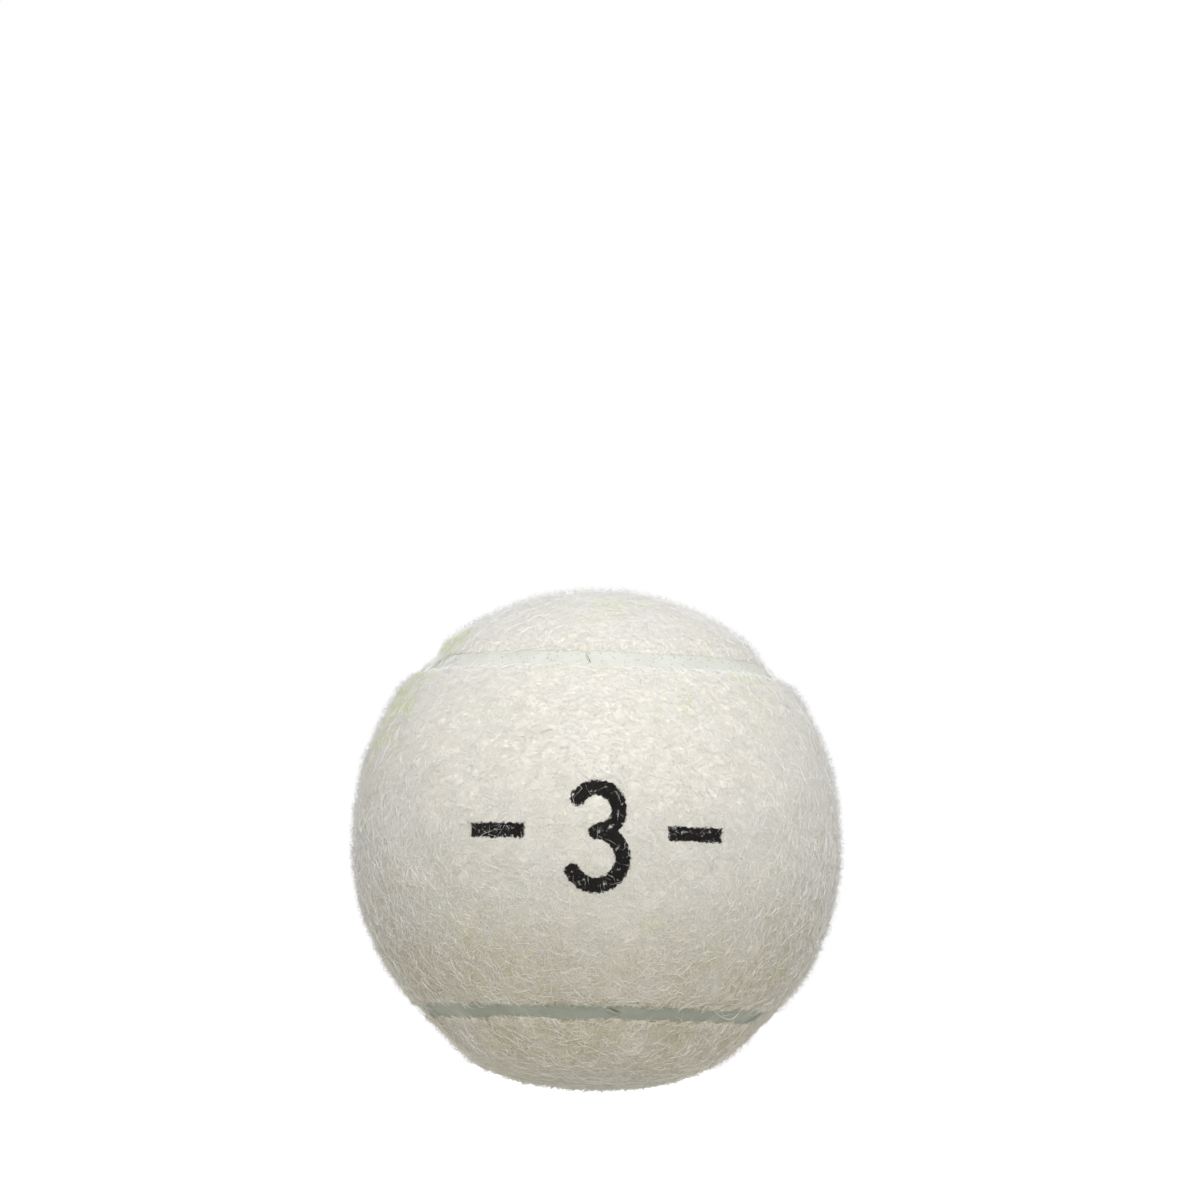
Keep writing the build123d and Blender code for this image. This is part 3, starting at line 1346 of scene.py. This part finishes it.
@dataclass
class Studio:
    """The floor, the light and the camera."""

    ball_radius: float
    floor_side: float = 8.0
    floor_gap: float = 0.3 * MM
    floor_pale: Colour = (0.90, 0.90, 0.90)
    floor_shade: Colour = (0.30, 0.28, 0.235)
    floor_glow: float = 0.72
    table_tint: Colour = (1.0, 0.97, 0.86)
    table_level: float = 0.64
    table_reach: float = 0.110
    room_axis: Place = (0.0, 0.80, 0.60)
    room_front: float = 1.26
    room_back: float = 0.74
    lamps: tuple[Lamp, ...] = (
        Lamp("key", (0.0, -0.76, 0.60), size=1.2, power=1.5),
        Lamp("front", (0.07, -1.08, 0.30), size=0.8, power=6.5),
        Lamp("back", (0.0, 0.90, 0.035), size=0.12, power=2.6),
    )
    distance: float = 0.70
    rise: float = math.radians(-2.4)
    roll: float = math.radians(1.4)
    photo_side: float = 1200.0
    ball_middle_px: tuple[float, float] = (596.3, 842.2)
    ball_radius_px: float = 249.7
    sensor: float = 36.0

    def floor(self) -> None:
        """Lays the pale floor, which looks white to the camera and sends little light back up."""
        deselect()
        place = (0.0, 0.0, -self.ball_radius - self.floor_gap)
        bpy.ops.mesh.primitive_plane_add(size=self.floor_side, location=place)
        floor = bpy.context.object
        floor.name = "studio_floor"
        bpy.ops.object.transform_apply(location=True)
        material = bpy.data.materials.new("studio_floor")
        material.use_nodes = True
        tree = material.node_tree
        tree.nodes.clear()
        seen = self.seen_directly(tree)
        links = {0: seen, 6: (*self.floor_shade, 1.0), 7: (*self.floor_pale, 1.0)}
        colour = add_node(tree, "ShaderNodeMix", links, data_type="RGBA").outputs[2]
        paint = add_node(tree, "ShaderNodeBsdfDiffuse", {"Color": colour}).outputs[0]
        links = {0: seen, 6: (*self.table_tint, 1.0), 7: (1.0, 1.0, 1.0, 1.0)}
        tint = add_node(tree, "ShaderNodeMix", links, data_type="RGBA").outputs[2]
        links = {0: seen, 2: self.table_light(tree), 3: self.floor_glow}
        level = add_node(tree, "ShaderNodeMix", links).outputs[0]
        glow = add_node(tree, "ShaderNodeEmission", {"Color": tint, "Strength": level}).outputs[0]
        both = add_node(tree, "ShaderNodeAddShader", {0: paint, 1: glow}).outputs[0]
        add_node(tree, "ShaderNodeOutputMaterial", {"Surface": both})
        floor.data.materials.append(material)

    def table_light(self, tree: bpy.types.NodeTree) -> Socket:
        """Gives the light that comes up through the table under the ball, and fades out round it.

        Args:
            tree: the floor's nodes.

        Returns:
            The light's strength.
        """
        place = add_node(tree, "ShaderNodeTexCoord").outputs["Object"]
        reach = add_node(tree, "ShaderNodeVectorMath", {0: place}, operation="LENGTH").outputs["Value"]
        links = {"Value": reach, "From Min": 0.0, "From Max": self.table_reach}
        links |= {"To Min": self.table_level, "To Max": 0.0}
        return add_node(tree, "ShaderNodeMapRange", links, interpolation_type="SMOOTHSTEP").outputs["Result"]

    @staticmethod
    def seen_directly(tree: bpy.types.NodeTree) -> Socket:
        """Tells what is seen from what only lights the ball.

        Args:
            tree: the floor's or the world's nodes.

        Returns:
            1 for what the camera sees, also in a shine or through glass, and 0 for other light.
        """
        path = add_node(tree, "ShaderNodeLightPath").outputs
        total = path["Is Camera Ray"]
        for name in ("Is Glossy Ray", "Is Transmission Ray"):
            links = {0: total, 1: path[name]}
            total = add_node(tree, "ShaderNodeMath", links, operation="ADD", use_clamp=True).outputs[0]
        return total

    def light(self) -> None:
        """Hangs the lamps, in front and straight behind, in a room that is dimmer behind and above."""
        world = bpy.data.worlds.new("studio")
        bpy.context.scene.world = world
        world.use_nodes = True
        tree = world.node_tree
        back = tree.nodes["Background"]
        way = add_node(tree, "ShaderNodeTexCoord").outputs["Generated"]
        links = {0: way, 1: self.room_axis}
        towards = add_node(tree, "ShaderNodeVectorMath", links, operation="DOT_PRODUCT").outputs["Value"]
        links = {"Value": towards, "From Min": -1.0, "From Max": 1.0}
        links |= {"To Min": self.room_front, "To Max": self.room_back}
        room = add_node(tree, "ShaderNodeMapRange", links).outputs["Result"]
        level = add_node(tree, "ShaderNodeMix", {0: self.seen_directly(tree), 2: room, 3: 1.0}).outputs[0]
        tree.links.new(level, back.inputs["Strength"])
        back.inputs["Color"].default_value = (1.0, 1.0, 1.0, 1.0)
        for lamp in self.lamps:
            lamp.hang()

    def camera(self) -> None:
        """Sets the camera where the photograph was taken from, so that the ball falls in the same place."""
        data = bpy.data.cameras.new("camera")
        reach = math.sqrt(self.distance**2 - self.ball_radius**2)
        focus_px = self.ball_radius_px * reach / self.ball_radius
        data.sensor_width = self.sensor
        data.lens = focus_px / self.photo_side * self.sensor
        back = Vector((0.0, -math.cos(self.rise), math.sin(self.rise)))
        middle = self.photo_side / 2
        right = math.atan2(middle - self.ball_middle_px[0], focus_px)
        up = math.atan2(self.ball_middle_px[1] - middle, focus_px)
        turn = (-back).to_track_quat("-Z", "Y").to_matrix()
        turn = turn @ Matrix.Rotation(self.roll, 3, "Z") @ Matrix.Rotation(up, 3, "X")
        turn = turn @ Matrix.Rotation(-right, 3, "Y")
        camera = bpy.data.objects.new("camera", data)
        camera.matrix_world = Matrix.Translation(back * self.distance) @ turn.to_4x4()
        bpy.context.scene.collection.objects.link(camera)
        bpy.context.scene.camera = camera


class TennisBall:
    """The whole ball: its layers, seam, felt and nap."""

    def __init__(self) -> None:
        """Takes the sizes from the frame."""
        seam_node = places_of(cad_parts["seam_rubber"].data)
        surface = outer_radius("seam_rubber")
        course = SeamCourse(surface, 0.0)
        half_width = float(np.abs(course.offset(units(seam_node))).max()) * surface
        self.seam = SeamCourse(surface, half_width)
        self.nap_radius = outer_radius("felt_panel_front")
        self.shape = FeltShape(self.nap_radius, self.seam)
        self.number = BallNumber(self.nap_radius)
        self.flaws = (
            SeamFlash(
                "seam_flash_upper", azimuth=-4.3, upper=True, slant=-68.0,
                length=1.9 * MM, width=0.26 * MM, height=0.20 * MM,
            ),
            SeamFlash(
                "seam_flash_lower", azimuth=6.7, upper=False, slant=-28.0,
                length=2.3 * MM, width=0.85 * MM, height=0.22 * MM,
            ),
        )

    def dress_layers(self) -> None:
        """Gives the frame's own pieces their finishes."""
        core = LayerFinish(
            "core_rubber", light=(0.10, 0.095, 0.09), dark=(0.055, 0.05, 0.05), grain=4.0 * MM, roughness=0.7
        ).make()
        cement = LayerFinish(
            "cement", light=(0.62, 0.52, 0.33), dark=(0.50, 0.41, 0.25), grain=2.0 * MM, roughness=0.45
        ).make()
        backing = LayerFinish(
            "felt_backing", light=(0.66, 0.60, 0.45), dark=(0.56, 0.50, 0.36), grain=1.5 * MM, roughness=0.8
        ).make()
        finishes = {
            "core_half_upper": core,
            "core_half_lower": core,
            "core_rim_bond": cement,
            "core_cement_coat": cement,
            "felt_backing_front": backing,
            "felt_backing_rear": backing,
            "seam_rubber": SeamFinish(self.flaws, self.seam).make(),
        }
        for node, finish in finishes.items():
            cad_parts[node].material_slots[0].material = finish
            log.info("%s: dressed as it is", node)
        for flaw in self.flaws:
            flaw.build(self.seam, finishes["seam_rubber"])

    def wool(self) -> dict[Lay, bpy.types.Material]:
        """Builds the finishes of the strands.

        Returns:
            The finish for each lay.
        """
        # dust here is the faint tint of the painted shade and dirt low down on the curls and the fuzz.
        number, dust = self.number, (0.985, 0.978, 0.95)
        mat = StrandFinish("mat_wool", number, (0.872, 0.855, 0.792), (0.90, 0.885, 0.828)).make()
        curls = StrandFinish("curl_wool", number, (0.90, 0.897, 0.88), (0.97, 0.969, 0.963), soil_and_shade=dust).make()
        fuzz = StrandFinish("fuzz_wool", number, (0.925, 0.918, 0.892), (0.955, 0.95, 0.93), soil_and_shade=dust).make()
        lint = StrandFinish("yellow_lint", number, (0.70, 0.85, 0.26), (0.82, 0.96, 0.40)).make()
        hairs = StrandFinish("dark_hair", number, (0.16, 0.15, 0.11), (0.30, 0.29, 0.22)).make()
        return {
            Lay.FLAT: mat,
            Lay.CURLED: curls,
            Lay.STANDING: fuzz,
            Lay.FRINGED: fuzz,
            Lay.TUFTED: fuzz,
            Lay.STRAY: lint,
            Lay.HAIR: hairs,
        }

    def naps(self, side: Side) -> list[Nap]:
        """Lists the strands of one panel, kind by kind.

        Args:
            side: the panel.

        Returns:
            The naps, from the mat up.
        """
        shape, seed = self.shape, 100 + side.value * 10
        mat = Nap(
            side, Lay.FLAT, shape, seed, length=2.0 * MM, length_spread=0.3, lift=0.07 * MM, bend=0.7,
            girth=0.032 * MM, stations=3, count=47000, patches=2, softness=0.92,
        )
        curls = Nap(
            side, Lay.CURLED, shape, seed + 1, length=2.6 * MM, length_spread=0.42, lift=0.26 * MM, bend=0.95,
            girth=0.0215 * MM, stations=4, count=18000, across=(0.0, 0.16), thin_above=0.88, ink_take=0.93,
            softness=0.25,
        )
        fuzz = Nap(
            side, Lay.STANDING, shape, seed + 2, length=1.0 * MM, length_spread=0.45, lift=0.66 * MM,
            bend=0.8, girth=0.018 * MM, stations=3, count=60000, patches=2, softness=0.9,
        )
        fringe = Nap(
            side, Lay.FRINGED, shape, seed + 6, length=1.8 * MM, length_spread=0.5, lift=0.28 * MM, bend=1.0,
            girth=0.023 * MM, stations=4, count=60000, overhang=1.0 * MM, thin_above=0.5, softness=0.45,
            edge_band=0.8 * MM, outward=1.3,
        )
        tufts = Nap(
            side, Lay.TUFTED, shape, seed + 5, length=1.9 * MM, length_spread=0.35, lift=0.55 * MM, bend=1.0,
            girth=0.017 * MM, stations=5, across=(1.0, 1.0), root_limit=-self.seam.half_width, softness=0.85,
            clusters=TUFT_SPOTS,
        )
        specks = Nap(
            side, Lay.STRAY, shape, seed + 3, length=4.0 * MM, length_spread=0.4, lift=0.30 * MM, bend=1.6,
            girth=0.019 * MM, stations=6, across=(0.4, 0.4), softness=0.8, clusters=LINT_SPOTS,
        )
        hairs = Nap(
            side, Lay.HAIR, shape, seed + 4, length=1.2 * MM, length_spread=0.4, lift=0.20 * MM, bend=1.2,
            girth=0.020 * MM, stations=5, clusters=HAIR_SPOTS,
        )
        return [mat, curls, fuzz, fringe, tufts, specks, hairs]

    def build(self) -> None:
        """Makes every piece of the felt and its nap."""
        self.dress_layers()
        felt = FeltFinish(self.number).make()
        wool = self.wool()
        backing = outer_radius("felt_backing_front")
        for side in Side:
            panel = FeltPanel(side, self.shape, backing).build(felt)
            nap = [piece for strands in self.naps(side) for piece in strands.build(wool[strands.lay])]
            if side is Side.FRONT:
                nap.append(LooseStrands(self.shape).build(wool[Lay.CURLED]))


def main() -> None:
    """Builds the ball and its studio."""
    logging.basicConfig(level=logging.INFO, format="%(message)s")
    bpy.context.scene.view_settings.view_transform = "Standard"
    ball = TennisBall()
    ball.build()
    studio = Studio(ball.nap_radius)
    studio.floor()
    studio.light()
    studio.camera()


if __name__ == "__main__":
    main()
